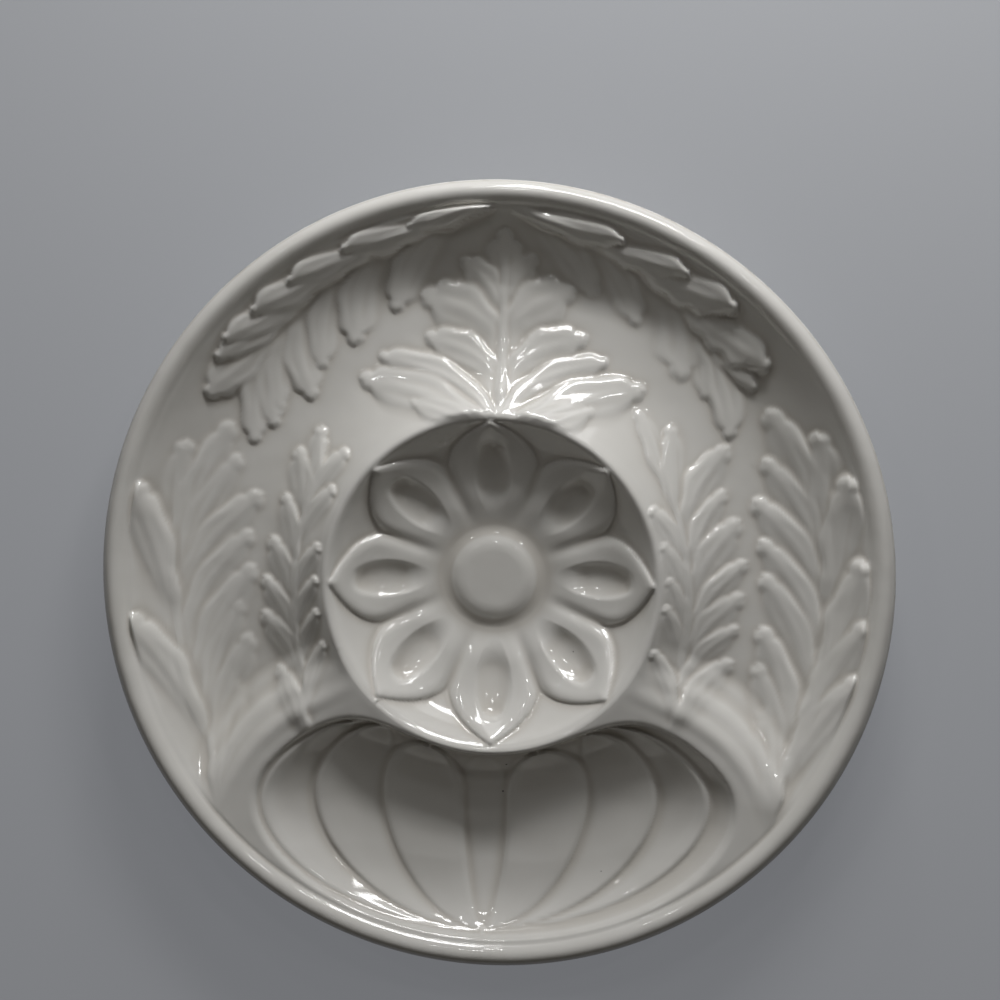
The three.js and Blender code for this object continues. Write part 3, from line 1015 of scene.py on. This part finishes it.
def spin_profile(mesh: bmesh.types.BMesh, profile: Sequence[Point], sectors: int) -> None:
    """Spins a profile of radius and height pairs into a wedge, and repeats the wedge round the plate's axis.

    Args:
        mesh: Mesh that takes the new faces.
        profile: Radius and height of each point, in order.
        sectors: Number of faces round the axis.
    """
    kept = len(mesh.verts), len(mesh.edges), len(mesh.faces)
    verts = [mesh.verts.new((radius, 0.0, height)) for radius, height in profile]
    edges = [mesh.edges.new(pair) for pair in zip(verts, verts[1:])]
    axis = {"cent": (0, 0, 0), "axis": (0, 0, 1)}
    wedge = 2 * math.pi / WEDGES
    bmesh.ops.spin(mesh, geom=[*verts, *edges], angle=wedge, steps=sectors // WEDGES, **axis)
    made = [*mesh.verts[kept[0]:], *mesh.edges[kept[1]:], *mesh.faces[kept[2]:]]
    bmesh.ops.spin(mesh, geom=made, angle=wedge * (WEDGES - 1), steps=WEDGES - 1, use_duplicate=True, **axis)
    bmesh.ops.remove_doubles(mesh, verts=mesh.verts, dist=WELD_DISTANCE)


def finish_piece(
    mesh: bmesh.types.BMesh, name: str, node: str, finish: bpy.types.Material
) -> bpy.types.Object:
    """Turns a mesh in millimetres into a piece of the object.

    Args:
        mesh: Finished mesh, in millimetres.
        name: Name of the piece.
        node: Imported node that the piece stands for.
        finish: Material of the piece.

    Returns:
        The new object.
    """
    bmesh.ops.recalc_face_normals(mesh, faces=mesh.faces)
    bmesh.ops.scale(mesh, vec=(MM, MM, MM), verts=mesh.verts)
    for face in mesh.faces:
        face.smooth = True
    data = bpy.data.meshes.new(name)
    mesh.to_mesh(data)
    mesh.free()
    piece = bpy.data.objects.new(name, data)
    bpy.context.scene.collection.objects.link(piece)
    data.materials.append(finish)
    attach(piece, BODY)
    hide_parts(node)
    log.info("%s: %d vertices, %d faces", name, len(data.vertices), len(data.polygons))
    return piece


@dataclass(frozen=True)
class PlateBody:
    """The glazed casting, front and back."""

    sizes: PlateSizes
    name: str = "glazed_casting"
    node: str = "plate_body"
    slot: str = "glaze"
    sectors: int = 384
    boss_rings: int = 8
    well_rings: int = 44
    trough_rings: int = 84
    lip_rings: int = 12
    back_rings: int = 10
    back_span: Point = (0.9, 0.05)
    back_lean: float = 0.6
    middle_shares: tuple[float, ...] = (0.7, 0.3, 0.0)
    profile_points: int = 2000
    ring_margin: float = 0.1
    pool_and_shade_passes: int = 10
    pool_and_shade_depth: float = 0.35

    def radii(self) -> list[float]:
        """Radii of the front face's rings, evenly spaced along each stretch of the turned profile.

        Returns:
            The radii, from the axis to the rim.
        """
        s = self.sizes
        turned = TurnedFace(s)
        stretches = [
            (0.0, s.groove_radius, self.boss_rings), (s.groove_radius, s.ridge_radius, self.well_rings),
            (s.ridge_radius, s.lip_inner, self.trough_rings), (s.lip_inner, s.radius, self.lip_rings),
        ]
        radii = [0.0]
        for start, end, count in stretches:
            fine = np.linspace(start, end, self.profile_points)
            steps = np.hypot(np.diff(fine), np.diff(turned.height(fine)))
            run = np.concatenate([[0.0], np.cumsum(steps)])
            radii.extend(np.interp(np.linspace(0, run[-1], count + 1)[1:], run, fine))
        return radii

    def underside(self) -> list[Point]:
        """Profile of the underside.

        Returns:
            Radius and height of its points, from the rim to the axis.
        """
        s = self.sizes
        shell = ShellWell(s)
        points = [(s.radius, s.lip_edge), (s.radius, s.lip_edge - s.lip_roll / 2)]
        for height in np.linspace(*self.back_span, self.back_rings):
            lean = math.pi / 2 * height**self.back_lean
            radius = shell.outer - shell.outer_run * shell.inset(height) + s.wall * math.sin(lean)
            level = mix(shell.floor, s.lip_edge, height) - s.wall * math.cos(lean)
            points.append((radius, max(level, s.foot_height)))
        points.append((s.foot_radius + s.wall, s.foot_height))
        recess_outer = s.foot_radius - s.foot_width - s.recess_land
        for across in np.linspace(1.0, 0.0, self.back_rings):
            rise = s.recess_rise * math.sin(math.pi * across) ** s.recess_curve
            points.append((mix(s.recess_inner, recess_outer, across), s.foot_height + rise))
        points.extend((s.recess_inner * share, s.foot_height) for share in self.middle_shares)
        return points

    def build(self, finish: bpy.types.Material) -> bpy.types.Object:
        """Builds and dresses the casting.

        Args:
            finish: Glaze of the casting.

        Returns:
            The new object.
        """
        mesh = bmesh.new()
        spin_profile(mesh, [(radius, 0.0) for radius in self.radii()], self.sectors)
        self.refine_trough(mesh)
        pool_and_shade = mesh.verts.layers.float.new(POOL_AND_SHADE_LAYER)
        self.mould_front(mesh, pool_and_shade)
        spin_profile(mesh, self.underside(), self.sectors)
        return finish_piece(mesh, self.name, self.node, finish)

    def refine_trough(self, mesh: bmesh.types.BMesh) -> None:
        """Doubles the faces round the trough, where the relief is finest.

        Args:
            mesh: Mesh of the flat front rings.
        """
        lowest, highest = self.sizes.ridge_radius - self.ring_margin, self.sizes.lip_inner + self.ring_margin
        rings = []
        for edge in mesh.edges:
            start, end = (vert.co.xy.length for vert in edge.verts)
            if lowest < start < highest and abs(start - end) < SAME_LEVEL:
                rings.append(edge)
        bmesh.ops.subdivide_edges(mesh, edges=rings, cuts=1)

    def mould_front(self, mesh: bmesh.types.BMesh, pool_and_shade: Any) -> None:
        """Moves the flat rings up to the front face, and notes hollows where the glaze pools and shade is
        painted.

        Args:
            mesh: Mesh of the flat front rings.
            pool_and_shade: Vertex layer that takes how far each place lies in a hollow, for glaze pools and
                painted shade.
        """
        mesh.verts.ensure_lookup_table()
        mesh.verts.index_update()
        flat = np.array([vert.co.xy for vert in mesh.verts])
        height = FrontFace(self.sizes).height(flat[:, 0], flat[:, 1])
        pairs = np.array([(edge.verts[0].index, edge.verts[1].index) for edge in mesh.edges])
        ends, others = np.concatenate([pairs, pairs[:, ::-1]]).T
        count = np.bincount(ends, minlength=len(height))
        smooth = height
        for _ in range(self.pool_and_shade_passes):
            smooth = np.bincount(ends, weights=smooth[others], minlength=len(height)) / count
        # Painted shade and glaze pools: how far the face lies below its smoothed height, in hollows and
        # creases.
        depth = np.clip(0.5 + 0.5 * (smooth - height) / self.pool_and_shade_depth, 0.0, 1.0)
        for vert, level, pooled_and_shaded in zip(mesh.verts, height, depth):
            vert.co.z = level
            vert[pool_and_shade] = pooled_and_shaded


@dataclass(frozen=True)
class FootRing:
    """The bare clay ring that the plate stands on."""

    inner: float
    outer: float
    height: float
    name: str = "clay_foot_ring"
    node: str = "foot_ring"
    slot: str = "bare_clay"
    sectors: int = 240
    chamfer: float = 1.0
    chamfer_steps: int = 4

    def build(self, finish: bpy.types.Material) -> bpy.types.Object:
        """Builds and dresses the ring.

        Args:
            finish: Bare clay of the ring.

        Returns:
            The new object.
        """
        mesh = bmesh.new()
        inner, outer = self.inner, self.outer
        profile = [(inner, self.height), (inner, 0.0), (outer, 0.0), (outer, self.height)]
        spin_profile(mesh, [*profile, profile[0]], self.sectors)
        lower = [edge for edge in mesh.edges if all(vert.co.z < SAME_LEVEL for vert in edge.verts)]
        rings = [edge for edge in lower if len({round(v.co.xy.length, 2) for v in edge.verts}) == 1]
        rounding = {"offset": self.chamfer, "segments": self.chamfer_steps, "profile": 0.5}
        bmesh.ops.bevel(mesh, geom=rings, affect="EDGES", material=-1, **rounding)
        return finish_piece(mesh, self.name, self.node, finish)


@dataclass(frozen=True)
class Lamp:
    """An area lamp that faces the plate, with its bearing from the crown and its elevation in degrees."""

    name: str
    bearing: float
    elevation: float
    distance: float
    size: tuple[float, float]
    watts: float

    def hang(self) -> None:
        """Hangs the lamp."""
        bearing, elevation = math.radians(self.bearing), math.radians(self.elevation)
        level = math.cos(elevation)
        aside, ahead = level * math.sin(bearing), level * math.cos(bearing)
        place = Vector((aside, ahead, math.sin(elevation))) * self.distance
        lamp = bpy.data.lights.new(self.name, "AREA")
        lamp.shape = "RECTANGLE"
        lamp.size, lamp.size_y = self.size
        lamp.energy = self.watts
        hung = bpy.data.objects.new(self.name, lamp)
        hung.location = place
        hung.rotation_euler = (-place).to_track_quat("-Z", "Y").to_euler()
        bpy.context.scene.collection.objects.link(hung)


LAMPS = (
    Lamp("key", 12.0, 27.5, 0.6, (0.3, 0.07), 1.6),
    Lamp("broad", 10.0, 17.0, 0.9, (0.8, 0.16), 0.8),
    Lamp("window", 2.0, 14.0, 0.7, (0.05, 0.07), 0.4),
    Lamp("ceiling", -6.0, 36.0, 0.9, (0.036, 0.036), 0.16),
    Lamp("corner", 30.0, 33.0, 0.9, (0.03, 0.042), 0.13),
    Lamp("skylight", -2.0, 52.0, 0.9, (0.06, 0.045), 0.2),
    Lamp("side", 43.0, 47.0, 0.9, (0.03, 0.05), 0.15),
    Lamp("far_side", -42.0, 47.0, 0.9, (0.03, 0.05), 0.15),
)


@dataclass(frozen=True)
class Studio:
    """Floor, lamps and camera, the camera placed from the middle of the lip's level."""

    sizes: PlateSizes
    camera_place: tuple[float, float, float] = (33.2, 68.7, 402.8)
    camera_target: tuple[float, float, float] = (3.2, 27.9, 0.0)
    lens: float = 45.0
    sensor: float = 36.0
    nearest: float = 0.01
    floor_size: float = 6.0
    floor_roughness: float = 0.9
    floor_colour: Colour = colour(0.30, 0.307, 0.318)
    floor_glow: Colour = colour(0.145, 0.15, 0.162)
    lamps: tuple[Lamp, ...] = LAMPS
    fill_colour: Colour = colour(1.0, 0.92, 0.8)
    fill_strength: float = 0.036
    backdrop_colour: Colour = colour(0.9, 0.95, 1.0)
    backdrop_strength: float = 0.3

    def build(self) -> None:
        """Makes everything that isn't part of the object."""
        bpy.context.scene.view_settings.view_transform = "Standard"
        self.lay_floor()
        self.hang_lamps()
        self.place_camera()

    def lay_floor(self) -> None:
        """Plain grey floor that glows a little where it is seen or mirrored."""
        mesh = bmesh.new()
        bmesh.ops.create_grid(mesh, x_segments=1, y_segments=1, size=self.floor_size)
        data = bpy.data.meshes.new("floor")
        mesh.to_mesh(data)
        mesh.free()
        floor = bpy.data.objects.new("floor", data)
        bpy.context.scene.collection.objects.link(floor)
        made = bpy.data.materials.new("floor")
        made.use_nodes = True
        nodes = Nodes(made.node_tree)
        rays = ("Is Camera Ray", "Is Glossy Ray", "Is Transmission Ray")
        seen, mirrored, carried = (nodes.add("ShaderNodeLightPath", {}, {}, ray) for ray in rays)
        glow = nodes.blend(seen.largest(mirrored).largest(carried), colour(0.0, 0.0, 0.0), self.floor_glow)
        inputs = {"Base Color": self.floor_colour, "Roughness": self.floor_roughness}
        inputs |= {"Emission Color": glow, "Emission Strength": 1.0}
        nodes.dress(inputs)
        data.materials.append(made)

    def hang_lamps(self) -> None:
        """Lamps from the crown side, and even fill from all round that looks paler than it lights."""
        world = bpy.data.worlds.new("studio")
        bpy.context.scene.world = world
        world.use_nodes = True
        nodes = Nodes(world.node_tree)
        seen = nodes.add("ShaderNodeLightPath", {}, {}, "Is Camera Ray")
        tint = nodes.blend(seen, self.fill_colour, self.backdrop_colour)
        strength = self.fill_strength + seen * self.backdrop_strength
        light = nodes.add("ShaderNodeBackground", {}, {"Color": tint, "Strength": strength})
        nodes.add("ShaderNodeOutputWorld", {}, {"Surface": light})
        for lamp in self.lamps:
            lamp.hang()

    def place_camera(self) -> None:
        """Camera at the photograph's viewing angle."""
        data = bpy.data.cameras.new("camera")
        data.lens = self.lens
        data.sensor_width = self.sensor
        data.clip_start = self.nearest
        camera = bpy.data.objects.new("camera", data)
        lip_level = Vector((0.0, 0.0, self.sizes.lip_edge))
        camera.location = (Vector(self.camera_place) + lip_level) * MM
        back = (Vector(self.camera_place) - Vector(self.camera_target)).normalized()
        right = Vector((0.0, 1.0, 0.0)).cross(back).normalized()
        axes = Matrix((right, back.cross(right), back)).transposed()
        camera.rotation_euler = axes.to_euler()
        bpy.context.scene.collection.objects.link(camera)
        bpy.context.scene.camera = camera


def main() -> None:
    """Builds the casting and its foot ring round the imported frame, and the studio."""
    logging.basicConfig(level=logging.INFO, format="%(name)s: %(message)s")
    _, foot_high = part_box(FootRing.node)
    _, plate_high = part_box(PlateBody.node)
    foot_height = foot_high.z / MM
    foot_radius = foot_high.x / MM
    sizes = PlateSizes(plate_high.x / MM, plate_high.z / MM, foot_height, foot_radius)
    PlateBody(sizes).build(Glaze().material())
    foot_inner = foot_radius - sizes.foot_width
    FootRing(foot_inner, foot_radius, foot_height).build(BareClay().material())
    Studio(sizes).build()


if __name__ == "__main__":
    main()
